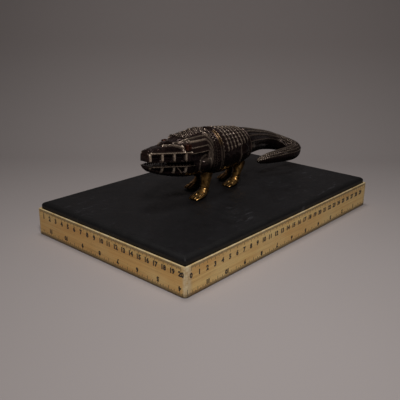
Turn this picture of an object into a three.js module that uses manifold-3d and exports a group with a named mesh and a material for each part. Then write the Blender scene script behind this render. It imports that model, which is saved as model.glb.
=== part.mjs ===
// Desk ink blotter: a slate slab framed by four wooden rulers, with a crocodile as its handle.
// A paper-wrapped press block fills the frame from below and pulls straight down to change the
// paper. Millimetres, +Z up. The origin is the centre of the base on the resting plane. The
// crocodile faces -X, and the long ruler with its zero end at -X looks towards -Y.

import * as THREE from "three";
import { mergeVertices } from "three/addons/utils/BufferGeometryUtils.js";
import Module from "manifold-3d";

// Base
const BASE_LENGTH = 310;
const BASE_WIDTH = 203.5;
const RULER_WIDTH = 27.8;
const RULER_THICKNESS = 2;
// Back right, back left, front left and front right: the front left corner is worn round
const RULER_CORNER_RADII = [1, 1, 4, 1];
const GLUE_GAP = 0.2;

// Slate slab
const SLAB_PROUD = 6.5;
const SLAB_THICKNESS = 11;
// The slab's rounded edge: how far in it runs, and how far down
const SLAB_EDGE_RUN = 6;
const SLAB_EDGE_DROP = 3.5;

// Wood under the slab
const BATTEN_WIDTH = 14;
const BATTEN_LIFT = 0.8;
const STOP_LEG = 26;

// Press block and paper
const PAPER_THICKNESS = 0.8;
const PAPER_PROUD = 0.5;
const BLOCK_THICKNESS = 12;
const BLOCK_CLEARANCE = 0.5;
const LAYER_GAP = 0.1;

// Crocodile: heights are above the slab, and its middle plane stands a little behind the centre
const AXIS_Y = 4;
const LEG_HEIGHT = 26;
const HEAD_SEAM_X = -20;
const TAIL_SEAM_X = 46;
const CASTING_GAP = 0.3;
const MOUTH_CORNER_X = -49;
const CELL_COUNT = 3;
const CELL_START_X = -96.5;
const CELL_PITCH = 12.9;
const CELL_POST = 1.8;
const CELL_DEPTH = 1.8;
const EYE_X = -55;
const EYE_HEIGHT = 57.6;
const EYE_SIZE = 6;

// Leg fixings
const STUD_RADIUS = 2;
const STUD_SETBACK = 4;
const STUD_CLEARANCE = 0.2;
const STUD_INTO_LEG = 9;
const STUD_BELOW_SLAB = 6.5;
const WASHER_RADIUS = 6;
const WASHER_THICKNESS = 1;
const NUT_ACROSS_FLATS = 7;
const NUT_HEIGHT = 3.2;

// Worked out from the above
const RULER_BOTTOM = PAPER_PROUD;
const SLAB_TOP = RULER_BOTTOM + RULER_WIDTH + SLAB_PROUD;
const SLAB_UNDERSIDE = SLAB_TOP - SLAB_THICKNESS;
const INNER_LENGTH = BASE_LENGTH - 2 * RULER_THICKNESS;
const INNER_WIDTH = BASE_WIDTH - 2 * RULER_THICKNESS;
const WELL_LENGTH = INNER_LENGTH - 2 * BATTEN_WIDTH;
const WELL_WIDTH = INNER_WIDTH - 2 * BATTEN_WIDTH;

const UP = new THREE.Vector3(0, 0, 1);
const BACKWARDS = new THREE.Vector3(1, 0, 0);

const wasm = await Module();
wasm.setup();

const blotter = new THREE.Group();

// Materials

function material(color, roughness, metalness) {
  return new THREE.MeshStandardMaterial({ color, roughness, metalness });
}

const SLATE = material(0x1b1c20, 0.55, 0);
const RULER_WOOD = material(0xb98d4c, 0.5, 0);
const SOFTWOOD = material(0xc9a878, 0.75, 0);
const PLYWOOD = material(0xb3915f, 0.8, 0);
const PAPER = material(0xd9d3c4, 0.95, 0);
const DARK_BRONZE = material(0x2a211a, 0.35, 0.9);
const BRASS = material(0xb07a35, 0.3, 0.95);
const COPPER = material(0x7a3c26, 0.35, 0.9);
const STEEL = material(0x9a9a98, 0.4, 0.9);

// Solids: every shape becomes a manifold, so that it can be joined and cut

function bare(geometry) {
  const copy = geometry.index ? geometry.clone() : mergeVertices(geometry.clone());
  for (const name of Object.keys(copy.attributes)) {
    if (name !== "position") copy.deleteAttribute(name);
  }
  return mergeVertices(copy, 1e-4);
}

function solid(geometry) {
  const clean = bare(geometry);
  const mesh = new wasm.Mesh({
    numProp: 3,
    vertProperties: new Float32Array(clean.getAttribute("position").array),
    triVerts: new Uint32Array(clean.getIndex().array),
  });
  return new wasm.Manifold(mesh);
}

function geometryOf(body) {
  const mesh = body.getMesh();
  const geometry = new THREE.BufferGeometry();
  geometry.setAttribute("position", new THREE.BufferAttribute(mesh.vertProperties, 3));
  geometry.setIndex(new THREE.BufferAttribute(mesh.triVerts, 1));
  geometry.computeVertexNormals();
  return geometry;
}

function addPart(name, body, surface) {
  const mesh = new THREE.Mesh(geometryOf(body), surface);
  mesh.name = name;
  blotter.add(mesh);
}

function box(low, high) {
  const geometry = new THREE.BoxGeometry(high[0] - low[0], high[1] - low[1], high[2] - low[2]);
  geometry.translate((low[0] + high[0]) / 2, (low[1] + high[1]) / 2, (low[2] + high[2]) / 2);
  return solid(geometry);
}

// An outline in the XY plane, raised from one height to another
function slab(shape, bottom, top) {
  const geometry = new THREE.ExtrudeGeometry(shape, {
    depth: top - bottom,
    bevelEnabled: false,
    curveSegments: 6,
  });
  geometry.translate(0, 0, bottom);
  return solid(geometry);
}

// An outline in the XZ plane, running across Y from one side to the other
function crosswise(points, nearY, farY) {
  const shape = new THREE.Shape(points.map(([x, z]) => new THREE.Vector2(x, z)));
  const geometry = new THREE.ExtrudeGeometry(shape, { depth: farY - nearY, bevelEnabled: false });
  geometry.rotateX(Math.PI / 2);
  geometry.translate(0, farY, 0);
  return solid(geometry);
}

function disc(radius, bottom, top, x, y, sides = 24) {
  const geometry = new THREE.CylinderGeometry(radius, radius, top - bottom, sides);
  geometry.rotateX(Math.PI / 2);
  geometry.translate(x, y, (bottom + top) / 2);
  return solid(geometry);
}

// The corners go round from the back right one, each with its own radius
function roundedRectangle(length, width, radii) {
  const shape = new THREE.Shape();
  radii.forEach((radius, corner) => {
    const right = corner === 0 || corner === 3 ? 1 : -1;
    const back = corner < 2 ? 1 : -1;
    const x = right * (length / 2 - radius);
    const y = back * (width / 2 - radius);
    const start = (corner * Math.PI) / 2;
    shape.absarc(x, y, radius, start, start + Math.PI / 2);
  });
  return shape;
}

// A closed body through a row of stations. A station has its middle, its half width and half
// height, and a squareness: 1 is an ellipse and smaller values are squarer. Its section faces its
// heading, or, without one, the way from the station before it to the one after it.
function loft(stations, sides, up = UP) {
  const last = stations.length - 1;
  const tube = bare(new THREE.CylinderGeometry(1, 1, 1, sides, last));
  const spots = tube.getAttribute("position");
  const middles = stations.map((station) => new THREE.Vector3(...station.at));
  for (let i = 0; i < spots.count; i += 1) {
    const ring = Math.round((spots.getY(i) + 0.5) * last);
    const { half, square = 1, heading } = stations[ring];
    const before = middles[Math.max(ring - 1, 0)];
    const after = middles[Math.min(ring + 1, last)];
    const along = heading ?? after.clone().sub(before).normalize();
    const across = along.clone().cross(up).normalize();
    const upwards = across.clone().cross(along);
    const x = spots.getX(i);
    const z = spots.getZ(i);
    const round = Math.min(Math.hypot(x, z), 1);
    const angle = Math.atan2(z, x);
    const wide = round * half[0] * signedPower(Math.cos(angle), square);
    const tall = round * half[1] * signedPower(Math.sin(angle), square);
    const spot = middles[ring].clone().addScaledVector(across, wide).addScaledVector(upwards, tall);
    spots.setXYZ(i, spot.x, spot.y, spot.z);
  }
  return solid(tube);
}

function signedPower(value, power) {
  return Math.sign(value) * Math.abs(value) ** power;
}

// Base

function rulerFrame() {
  const outline = roundedRectangle(BASE_LENGTH, BASE_WIDTH, RULER_CORNER_RADII);
  const ring = slab(outline, RULER_BOTTOM, RULER_BOTTOM + RULER_WIDTH);
  const inside = box(
    [-INNER_LENGTH / 2, -INNER_WIDTH / 2, 0],
    [INNER_LENGTH / 2, INNER_WIDTH / 2, 2 * RULER_WIDTH],
  );
  return ring.subtract(inside);
}

// The part of the frame that one ruler fills: its mitres run at 45 degrees out of the corners
function mitreWedge(length, width) {
  const reach = BATTEN_WIDTH;
  const gap = GLUE_GAP / 2;
  const shape = new THREE.Shape([
    new THREE.Vector2(-length / 2 - reach + gap, -width / 2 - reach),
    new THREE.Vector2(length / 2 + reach - gap, -width / 2 - reach),
    new THREE.Vector2(length / 2 - reach - gap, -width / 2 + reach),
    new THREE.Vector2(-length / 2 + reach + gap, -width / 2 + reach),
  ]);
  return slab(shape, 0, 2 * RULER_WIDTH);
}

function addRulers() {
  const frame = rulerFrame();
  const long = mitreWedge(INNER_LENGTH, INNER_WIDTH);
  const short = mitreWedge(INNER_WIDTH, INNER_LENGTH);
  addPart("ruler_front", frame.intersect(long), RULER_WOOD);
  addPart("ruler_back", frame.intersect(long.rotate([0, 0, 180])), RULER_WOOD);
  addPart("ruler_left", frame.intersect(short.rotate([0, 0, -90])), RULER_WOOD);
  addPart("ruler_right", frame.intersect(short.rotate([0, 0, 90])), RULER_WOOD);
}

// The slab's rounded edge comes from a stack of plates, each a little smaller and taller
function addSlateTop() {
  const length = INNER_LENGTH - 2 * GLUE_GAP;
  const width = INNER_WIDTH - 2 * GLUE_GAP;
  const plates = [];
  for (let step = 0; step <= 4; step += 1) {
    const angle = (step * Math.PI) / 8;
    const inset = SLAB_EDGE_RUN * (1 - Math.cos(angle));
    const top = SLAB_TOP - SLAB_EDGE_DROP * (1 - Math.sin(angle));
    const outline = roundedRectangle(length - 2 * inset, width - 2 * inset, [1, 1, 1, 1]);
    plates.push(slab(outline, SLAB_UNDERSIDE, top));
  }
  let body = wasm.Manifold.hull(plates);
  for (const leg of LEGS) {
    const hole = disc(
      STUD_RADIUS + STUD_CLEARANCE,
      SLAB_UNDERSIDE - 1,
      SLAB_TOP + 1,
      leg.stud[0],
      leg.stud[1],
    );
    body = body.subtract(hole);
  }
  addPart("slate_top", body, SLATE);
}

function addBattens() {
  const bottom = RULER_BOTTOM + BATTEN_LIFT;
  const top = SLAB_UNDERSIDE - GLUE_GAP;
  const endX = INNER_LENGTH / 2 - GLUE_GAP;
  const endY = INNER_WIDTH / 2 - GLUE_GAP;
  const innerX = WELL_LENGTH / 2;
  const innerY = WELL_WIDTH / 2;
  addPart("batten_front", box([-endX, -endY, bottom], [endX, -innerY, top]), SOFTWOOD);
  addPart("batten_back", box([-endX, innerY, bottom], [endX, endY, top]), SOFTWOOD);
  const buttY = innerY - GLUE_GAP;
  addPart("batten_left", box([-endX, -buttY, bottom], [-innerX, buttY, top]), SOFTWOOD);
  addPart("batten_right", box([innerX, -buttY, bottom], [endX, buttY, top]), SOFTWOOD);
}

// A three-cornered block in each corner of the well stiffens the frame and stops the press block
function addCornerStops() {
  const bottom = PAPER_THICKNESS + LAYER_GAP + BLOCK_THICKNESS + CASTING_GAP;
  const top = SLAB_UNDERSIDE - GLUE_GAP;
  const corners = { front_left: [-1, -1], front_right: [1, -1], back_left: [-1, 1], back_right: [1, 1] };
  for (const [place, [sideX, sideY]] of Object.entries(corners)) {
    const x = sideX * (WELL_LENGTH / 2 - GLUE_GAP);
    const y = sideY * (WELL_WIDTH / 2 - 2 * GLUE_GAP);
    const shape = new THREE.Shape([
      new THREE.Vector2(x, y),
      new THREE.Vector2(x - sideX * STOP_LEG, y),
      new THREE.Vector2(x, y - sideY * STOP_LEG),
    ]);
    addPart(`corner_stop_${place}`, slab(shape, bottom, top), SOFTWOOD);
  }
}

function addPressBlock() {
  const turnUp = PAPER_THICKNESS + LAYER_GAP;
  const x = WELL_LENGTH / 2 - BLOCK_CLEARANCE - turnUp;
  const y = WELL_WIDTH / 2 - BLOCK_CLEARANCE;
  addPart("press_block", box([-x, -y, turnUp], [x, y, turnUp + BLOCK_THICKNESS]), PLYWOOD);
}

// The sheet covers the block's underside and turns up over its two short ends
function addBlottingPaper() {
  const x = WELL_LENGTH / 2 - BLOCK_CLEARANCE;
  const y = WELL_WIDTH / 2 - BLOCK_CLEARANCE - GLUE_GAP;
  const top = PAPER_THICKNESS + LAYER_GAP + BLOCK_THICKNESS;
  const innerX = x - PAPER_THICKNESS;
  const section = [
    [-x, 0], [x, 0], [x, top], [innerX, top],
    [innerX, PAPER_THICKNESS], [-innerX, PAPER_THICKNESS], [-innerX, top], [-x, top],
  ];
  addPart("blotting_paper", crosswise(section, -y, y), PAPER);
}

// Crocodile

// Each row: x, lowest and highest point above the slab, half width, squareness
const HEAD_ROWS = [
  [-98, 44, 57, 6, 0.6],
  [-95.5, 40, 59.3, 7, 0.6],
  [-88, 36.2, 60.7, 8.6, 0.6],
  [-78, 32.4, 61.4, 11, 0.6],
  [-68, 29.5, 62.5, 13.8, 0.6],
  [-58, 27, 64.5, 16.6, 0.65],
  [-52, 25.5, 68, 18.2, 0.7],
  [-42, 24, 69, 20, 0.75],
  [-30, 22, 69.2, 21, 0.85],
  [HEAD_SEAM_X, 20.5, 69, 20.5, 0.9],
];

const TRUNK_ROWS = [
  [HEAD_SEAM_X + CASTING_GAP, 20.5, 69, 20.5, 0.9],
  [-9, 18, 68.5, 21.5, 0.95],
  [8, 17, 67, 21, 1],
  [26, 18, 64.5, 20.5, 1],
  [38, 20, 62.2, 19.5, 1],
  [TAIL_SEAM_X - CASTING_GAP, 22, 60.4, 18, 1],
];

// The tail runs back, swings round towards -Y and comes forward beside itself.
// Each row: middle x, y and height above the slab, half width, half height
const TAIL_ROWS = [
  [TAIL_SEAM_X, 4, 41.2, 18, 19.2],
  [58, 4.5, 41, 16.2, 17.4],
  [74, 5.5, 39.5, 14.2, 15],
  [92, 7, 37, 12.2, 13],
  [108, 8, 33.5, 10.6, 11.6],
  [121, 7, 29.8, 9.4, 10.6],
  [130.5, 1, 26.4, 8.8, 9.8],
  [133.5, -9, 24, 8.4, 9.4],
  [128, -18.5, 22.8, 8, 9.4],
  [115, -22, 22.3, 7, 9.3],
  [98, -19, 21.6, 6, 8.4],
  [82, -13.5, 20.5, 4.8, 7],
  [71, -9.5, 19.3, 3.4, 4.6],
  [66, -8.5, 18.8, 1.5, 2],
];

// Each leg in mid stride: where its foot stands, how far out, and where it meets the body
const LEG_STANCES = [
  { place: "front_left", outwards: -1, footX: -31, shoulderX: -24, spread: 13.5 },
  { place: "front_right", outwards: 1, footX: -9, shoulderX: -16, spread: 13.5 },
  { place: "rear_left", outwards: -1, footX: 26, shoulderX: 36, spread: 10 },
  { place: "rear_right", outwards: 1, footX: 42, shoulderX: 37, spread: 10 },
];

const LEGS = LEG_STANCES.map(({ place, outwards, footX, shoulderX, spread }) => {
  const y = AXIS_Y + outwards * spread;
  return { place, foot: [footX, y], shoulder: [shoulderX, y], stud: [footX + STUD_SETBACK, y] };
});

function rowsToStations(rows, thinner = 0) {
  return rows.map(([x, low, high, halfWidth, square]) => ({
    at: [x, AXIS_Y, SLAB_TOP + (low + high) / 2],
    half: [halfWidth - thinner, (high - low) / 2],
    square,
    heading: BACKWARDS,
  }));
}

// The mouth is a narrow slot that follows the tilt of the head
function mouthSlot() {
  const outline = [
    [-112, 50.6], [-112, 46.8], [MOUTH_CORNER_X, 38.6], [MOUTH_CORNER_X, 43.2],
  ].map(([x, height]) => [x, SLAB_TOP + height]);
  return crosswise(outline, AXIS_Y - 40, AXIS_Y + 40);
}

function jawRegion(margin) {
  const outline = [
    [-112, 48.7 + margin], [-112, 10], [-36 + margin, 10],
    [-44 + margin, 40.9 + margin], [MOUTH_CORNER_X - 1, 40.9 + margin],
  ].map(([x, height]) => [x, SLAB_TOP + height]);
  return crosswise(outline, AXIS_Y - 40, AXIS_Y + 40);
}

// Square sunk cells with posts between them run down the sides of both jaws
function jawCells(lowAtStart, height) {
  const core = loft(rowsToStations(HEAD_ROWS, CELL_DEPTH), 24);
  let cells = null;
  for (let i = 0; i < CELL_COUNT; i += 1) {
    const x = CELL_START_X + i * CELL_PITCH;
    const low = SLAB_TOP + lowAtStart - i * 1.25;
    const cell = box(
      [x + CELL_POST / 2, AXIS_Y - 40, low],
      [x + CELL_PITCH - CELL_POST / 2, AXIS_Y + 40, low + height],
    );
    cells = cells ? cells.add(cell) : cell;
  }
  return cells.subtract(core);
}

function browCrests() {
  const crests = [-1, 1].map((side) =>
    loft(
      [
        { at: [-76, AXIS_Y + side * 8, SLAB_TOP + 60], half: [1.5, 1.5] },
        { at: [-67, AXIS_Y + side * 9.5, SLAB_TOP + 61], half: [2.6, 3] },
        { at: [-58, AXIS_Y + side * 10.5, SLAB_TOP + 61.5], half: [3, 3.2] },
        { at: [-46, AXIS_Y + side * 11, SLAB_TOP + 61.5], half: [2.6, 2.6] },
      ],
      10,
    ),
  );
  return crests[0].add(crests[1]);
}

function addHead() {
  const whole = loft(rowsToStations(HEAD_ROWS), 32);
  const upperCells = jawCells(48, 7.6);
  const lowerCells = jawCells(37.2, 6.6);
  const eyes = eyePair(CASTING_GAP);
  const head = whole
    .subtract(jawRegion(CASTING_GAP))
    .subtract(mouthSlot())
    .subtract(upperCells)
    .add(browCrests())
    .subtract(eyes[0])
    .subtract(eyes[1]);
  addPart("crocodile_head", withLegSockets(head), DARK_BRONZE);
  const jaw = whole.intersect(jawRegion(0)).subtract(mouthSlot()).subtract(lowerCells);
  addPart("crocodile_lower_jaw", withLegSockets(jaw), DARK_BRONZE);
  const [left, right] = eyePair(0);
  addPart("eye_left", left, COPPER);
  addPart("eye_right", right, COPPER);
}

function eyePair(grow) {
  const half = EYE_SIZE / 2 + grow;
  return [-1, 1].map((side) => {
    const outer = AXIS_Y + side * (18.6 + grow);
    const inner = AXIS_Y + side * (13.5 - grow);
    return box(
      [EYE_X - half, Math.min(outer, inner), SLAB_TOP + EYE_HEIGHT - half],
      [EYE_X + half, Math.max(outer, inner), SLAB_TOP + EYE_HEIGHT + half],
    );
  });
}

// A leg is a foot with spread toes and a shank that ends in a peg inside the body
function legBody(leg, grow) {
  const [footX, footY] = leg.foot;
  const floor = SLAB_TOP + 0.1;
  const footRows = [[11, 4, 6], [4, 5.6, 10], [-5, 6.2, 7.5], [-10, 6.6, 4.5], [-14, 5, 2]];
  const foot = loft(
    footRows.map(([x, halfWidth, height]) => ({
      at: [footX + x, footY, floor + height / 2],
      half: [halfWidth + grow, height / 2 + grow],
      square: 0.7,
    })),
    16,
  );
  const shank = loft(
    [0, 0.35, 0.7, 1].map((part) => ({
      at: [
        footX + STUD_SETBACK + part * (leg.shoulder[0] - footX - STUD_SETBACK),
        footY,
        floor + 3 + part * (LEG_HEIGHT - 3),
      ],
      half: [5 + 1.2 * part + grow, 5.4 + part + grow],
    })),
    16,
    BACKWARDS,
  );
  const ground = box([-BASE_LENGTH, -BASE_WIDTH, 0], [BASE_LENGTH, BASE_WIDTH, floor - grow]);
  return foot.add(shank).subtract(ground);
}

function addLegs() {
  for (const leg of LEGS) {
    const socket = disc(
      STUD_RADIUS + STUD_CLEARANCE,
      SLAB_TOP - 1,
      SLAB_TOP + STUD_INTO_LEG + 1,
      leg.stud[0],
      leg.stud[1],
    );
    addPart(`leg_${leg.place}`, legBody(leg, 0).subtract(socket), BRASS);
  }
}

function withLegSockets(casting) {
  return LEGS.reduce((body, leg) => body.subtract(legBody(leg, CASTING_GAP)), casting);
}

function addTrunk() {
  const trunk = withLegSockets(loft(rowsToStations(TRUNK_ROWS), 32));
  addPart("crocodile_trunk", trunk, DARK_BRONZE);
}

function addTail() {
  const stations = TAIL_ROWS.map(([x, y, height, halfWidth, halfHeight], row) => ({
    at: [x, y, SLAB_TOP + height],
    half: [halfWidth, halfHeight],
    heading: row === 0 ? BACKWARDS : undefined,
  }));
  addPart("crocodile_tail", withLegSockets(loft(stations, 20)), DARK_BRONZE);
}

// Leg fixings: a stud from each foot goes down through the slab to a washer and nut

function addFixings() {
  for (const { place, stud } of LEGS) {
    const [x, y] = stud;
    const bottom = SLAB_UNDERSIDE - STUD_BELOW_SLAB;
    addPart(
      `leg_stud_${place}`,
      disc(STUD_RADIUS, bottom, SLAB_TOP + STUD_INTO_LEG, x, y),
      STEEL,
    );
    const bore = disc(STUD_RADIUS + STUD_CLEARANCE, 0, SLAB_TOP, x, y);
    const washerTop = SLAB_UNDERSIDE - LAYER_GAP;
    const washer = disc(WASHER_RADIUS, washerTop - WASHER_THICKNESS, washerTop, x, y);
    addPart(`leg_washer_${place}`, washer.subtract(bore), STEEL);
    const nutTop = washerTop - WASHER_THICKNESS - LAYER_GAP;
    const nutRadius = NUT_ACROSS_FLATS / Math.sqrt(3);
    const nut = disc(nutRadius, nutTop - NUT_HEIGHT, nutTop, x, y, 6);
    addPart(`leg_nut_${place}`, nut.subtract(bore), STEEL);
  }
}

addSlateTop();
addRulers();
addBattens();
addCornerStops();
addPressBlock();
addBlottingPaper();
addHead();
addTrunk();
addTail();
addLegs();
addFixings();

export default blotter;
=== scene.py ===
"""The ink blotter's looks: slate slab, printed wooden rulers and a bronze crocodile, on a pale floor."""
import math

import bmesh
import bpy
import numpy as np
from mathutils import Matrix, Vector


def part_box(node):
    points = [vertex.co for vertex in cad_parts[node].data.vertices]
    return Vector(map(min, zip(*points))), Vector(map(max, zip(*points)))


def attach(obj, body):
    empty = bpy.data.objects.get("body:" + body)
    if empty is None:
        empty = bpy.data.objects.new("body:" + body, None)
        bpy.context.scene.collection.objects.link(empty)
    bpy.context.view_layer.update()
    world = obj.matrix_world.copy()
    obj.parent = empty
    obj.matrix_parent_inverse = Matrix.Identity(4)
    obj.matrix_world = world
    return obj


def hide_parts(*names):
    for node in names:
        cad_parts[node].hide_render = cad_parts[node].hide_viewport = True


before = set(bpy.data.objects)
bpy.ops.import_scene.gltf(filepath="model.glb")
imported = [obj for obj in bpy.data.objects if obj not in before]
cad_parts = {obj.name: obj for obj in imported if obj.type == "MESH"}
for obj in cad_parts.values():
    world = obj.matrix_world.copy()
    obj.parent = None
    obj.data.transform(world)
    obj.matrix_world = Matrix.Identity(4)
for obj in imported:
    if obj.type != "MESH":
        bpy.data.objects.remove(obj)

MM = 0.001
SEED = 7

# Camera: where it stands in the frame, in metres, which way it looks, and its lens
CAMERA_AT = (-0.4553, -0.3823, 0.2290)
CAMERA_YAW = math.radians(41.50)
CAMERA_PITCH = math.radians(19.27)
CAMERA_ROLL = math.radians(0.53)
CAMERA_LENS = 51.7

# Backdrop, in metres: how far from the camera it turns up, how round the turn is, and its size
SWEEP_START = 0.84
SWEEP_RADIUS = 0.16
SWEEP_HALF_WIDTH = 3.0
SWEEP_TOP = 2.2

# Lights: where each one stands and points, in metres, its watts, and its spread in degrees
LIGHT_SIZE = 0.25
LIGHTS = {
    "front": {"spot": (-0.50, -0.50, 0.90), "target": (-0.14, -0.15, 0.0), "watts": 1.42, "spread": 94},
    "overhead": {"spot": (-0.02, 0.06, 1.05), "target": (-0.03, -0.03, 0.0), "watts": 0.38, "spread": 80},
}
WORLD_COLOUR = (1.0, 0.97, 0.98, 1)
WORLD_STRENGTH = 0.02

# Slab, in millimetres: how far in its rounded edge runs, how far down, and its corner radius
SLAB_EDGE_RUN = 6.0
SLAB_EDGE_DROP = 3.5
SLAB_CORNER = 1.6
SLAB_SIDE_STEPS = 110

# Rulers, in millimetres: corner radii, and how round the long edges are worn
WORN_CORNER = 4.0
SHARP_CORNER = 0.9
TOP_WEAR = 0.6

# Printing, in millimetres: how thick the ink is, and how close marks and numbers come to a board's ends
INK_HEIGHT = 0.05
MARK_CLEAR = 2.5
NUMBER_CLEAR = 4.5
NUMBER_WEIGHT = 0.34
NUMBER_SPACING = 0.92

# Centimetre scale: mark lengths, how far down they start, and where each scale starts or ends
CM_MARKS = {"one": 2.2, "five": 3.2, "ten": 4.4}
CM_MARK_WIDTH = 0.40
CM_DROP = 0.5
CM_NUMBER_SIZE = 6.2
LONG_SCALE_START = 7.0
SHORT_SCALE_END = 4.8

# Inch scale: mark lengths by sixteenths, how far up they start, and where the scale's zero is
INCH = 25.4
INCH_COUNT = 12
INCH_MARKS = [7.0, 2.4, 3.2, 2.4, 4.2, 2.4, 3.2, 2.4, 5.4, 2.4, 3.2, 2.4, 4.2, 2.4, 3.2, 2.4]
INCH_MARK_WIDTH = 0.46
INCH_RISE = 0.6
INCH_NUMBER_SIZE = 5.6
INCH_END = 300.3

# Paper and plywood, in millimetres: sheet thickness, radius of the fold, and two plies together
PAPER_THICKNESS = 0.75
PAPER_FOLD = 1.6
PLY_PAIR = 3.4

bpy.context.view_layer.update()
SLATE_LOW, SLATE_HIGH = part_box("slate_top")
BASE_HALF = (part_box("ruler_right")[1].x / MM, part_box("ruler_back")[1].y / MM)
SLAB_TOP = SLATE_HIGH.z / MM
AXIS_Y = (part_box("crocodile_trunk")[0].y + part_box("crocodile_trunk")[1].y) / 2 / MM
BODY = "handle_and_frame"
PAD = "press_pad"


# Numbers and curves


def smooth(low, high, value):
    """From 0 at low to 1 at high, with soft ends. Low may be the larger one."""
    t = np.clip((value - low) / (high - low), 0, 1)
    return t * t * (3 - 2 * t)


def plateau(low, high, soft, value):
    """1 between low and high, 0 outside."""
    return smooth(low - soft, low + soft, value) * (1 - smooth(high - soft, high + soft, value))


def crest(distance, width):
    """A narrow ridge: 1 where the distance is 0."""
    return np.exp(-((distance / width) ** 2))


def sawtooth(value):
    """Rises from 0 to 1 over each whole number, then drops."""
    return value - np.floor(value)


def triangle(value):
    """Falls from 1 to 0 and back over each whole number."""
    return np.abs(2 * sawtooth(value) - 1)


def through(rows, column, x):
    """A smooth curve through one column of a table whose first column is x."""
    xs = np.array([row[0] for row in rows], float)
    ys = np.array([row[column] for row in rows], float)
    slopes = np.gradient(ys, xs)
    i = np.clip(np.searchsorted(xs, x) - 1, 0, len(xs) - 2)
    span = xs[i + 1] - xs[i]
    t = np.clip((x - xs[i]) / span, 0, 1)
    low = (1 + 2 * t) * (1 - t) ** 2 * ys[i] + t * (1 - t) ** 2 * span * slopes[i]
    high = t * t * (3 - 2 * t) * ys[i + 1] + t * t * (t - 1) * span * slopes[i + 1]
    return low + high


def power(value, exponent):
    """A power that keeps the sign, for rounded squares."""
    return np.sign(value) * np.abs(value) ** exponent


def grain(points, scale, seed=0):
    """Cheap smooth noise between about -1 and 1, from a few crossed waves."""
    rng = np.random.default_rng(SEED + seed)
    total = np.zeros(points.shape[:-1])
    for octave in range(5):
        wave = rng.normal(size=3)
        wave *= 2 * math.pi / scale * (0.7 + 0.35 * octave) / np.linalg.norm(wave)
        total += np.sin(points @ wave + rng.uniform(0, 2 * math.pi))
    return total / 5


# Meshes


def mesh_object(name, vertices, faces, soft=True, **fields):
    """A mesh with named per-point values that its material can read."""
    mesh = bpy.data.meshes.new(name)
    mesh.from_pydata([tuple(v) for v in vertices], [], faces)
    mesh.validate()
    if soft:
        mesh.polygons.foreach_set("use_smooth", [True] * len(mesh.polygons))
    for field, values in fields.items():
        values = np.asarray(values, float)
        kind = "FLOAT_VECTOR" if values.ndim == 2 else "FLOAT"
        layer = mesh.attributes.new(field, kind, "POINT")
        layer.data.foreach_set("vector" if values.ndim == 2 else "value", values.ravel())
    mesh.update()
    thing = bpy.data.objects.new(name, mesh)
    bpy.context.collection.objects.link(thing)
    return thing


def tube_faces(rings, around):
    """Faces of a tube of rings, closed at both ends."""
    faces = []
    for i in range(rings - 1):
        for j in range(around):
            k = (j + 1) % around
            faces.append((i * around + j, i * around + k, (i + 1) * around + k, (i + 1) * around + j))
    faces.append(tuple(range(around))[::-1])
    faces.append(tuple(range((rings - 1) * around, rings * around)))
    return faces


def recalculate(thing):
    """Turns every face outwards."""
    work = bmesh.new()
    work.from_mesh(thing.data)
    bmesh.ops.recalc_face_normals(work, faces=work.faces)
    work.to_mesh(thing.data)
    work.free()
    thing.data.update()


def tube(name, points, **fields):
    """A closed tube from its rings of points, given in millimetres."""
    thing = mesh_object(name, points.reshape(-1, 3) * MM, tube_faces(*points.shape[:2]), **fields)
    recalculate(thing)
    return thing


def place(thing, body, material, slot, *replaced):
    """Gives a piece its material, its body and the solids it stands in for."""
    thing.data.materials.append(material)
    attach(thing, body)
    if replaced:
        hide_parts(*replaced)
    return thing


# Materials: a small builder over the node editor


class Surface:
    def __init__(self, name):
        self.material = bpy.data.materials.new(name)
        self.material.use_nodes = True
        self.tree = self.material.node_tree
        self.shader = self.tree.nodes["Principled BSDF"]

    def node(self, kind, inputs=(), **settings):
        made = self.tree.nodes.new(kind)
        for key, value in settings.items():
            setattr(made, key, value)
        for key, value in dict(inputs).items():
            self.feed(made.inputs[key], value)
        return made

    def feed(self, socket, value):
        if isinstance(value, bpy.types.NodeSocket):
            self.tree.links.new(value, socket)
        else:
            socket.default_value = value

    def place(self, scale=(1, 1, 1), attribute=None):
        if attribute:
            source = self.node("ShaderNodeAttribute", attribute_name=attribute).outputs["Vector"]
        else:
            source = self.node("ShaderNodeTexCoord").outputs["Object"]
        mapping = self.node("ShaderNodeMapping", {"Vector": source, "Scale": scale})
        return mapping.outputs["Vector"]

    def field(self, name):
        return self.node("ShaderNodeAttribute", attribute_name=name).outputs["Fac"]

    def noise(self, where, scale, detail=4.0, roughness=0.6, distortion=0.0):
        inputs = {"Vector": where, "Scale": scale, "Detail": detail}
        inputs.update({"Roughness": roughness, "Distortion": distortion})
        return self.node("ShaderNodeTexNoise", inputs).outputs["Fac"]

    def span(self, value, low, high, to_low=0.0, to_high=1.0):
        inputs = {"Value": value, "From Min": low, "From Max": high, "To Min": to_low, "To Max": to_high}
        return self.node("ShaderNodeMapRange", inputs, clamp=True).outputs["Result"]

    def math(self, operation, first, second=0.0):
        made = self.node("ShaderNodeMath", operation=operation)
        self.feed(made.inputs[0], first)
        self.feed(made.inputs[1], second)
        return made.outputs[0]

    def mix(self, amount, first, second):
        made = self.node("ShaderNodeMix", data_type="RGBA")
        self.feed(made.inputs[0], amount)
        self.feed(made.inputs[6], first)
        self.feed(made.inputs[7], second)
        return made.outputs[2]

    def bump(self, height, strength, distance, after=None):
        inputs = {"Height": height, "Strength": strength, "Distance": distance}
        if after is not None:
            inputs["Normal"] = after
        return self.node("ShaderNodeBump", inputs).outputs["Normal"]

    def finish(self, **sockets):
        names = {
            "colour": "Base Color",
            "roughness": "Roughness",
            "metallic": "Metallic",
            "normal": "Normal",
            "coat": "Coat Weight",
            "coat_roughness": "Coat Roughness",
            "sheen": "Sheen Weight",
            "specular": "Specular IOR Level",
        }
        for key, value in sockets.items():
            self.feed(self.shader.inputs[names[key]], value)
        return self.material


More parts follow.
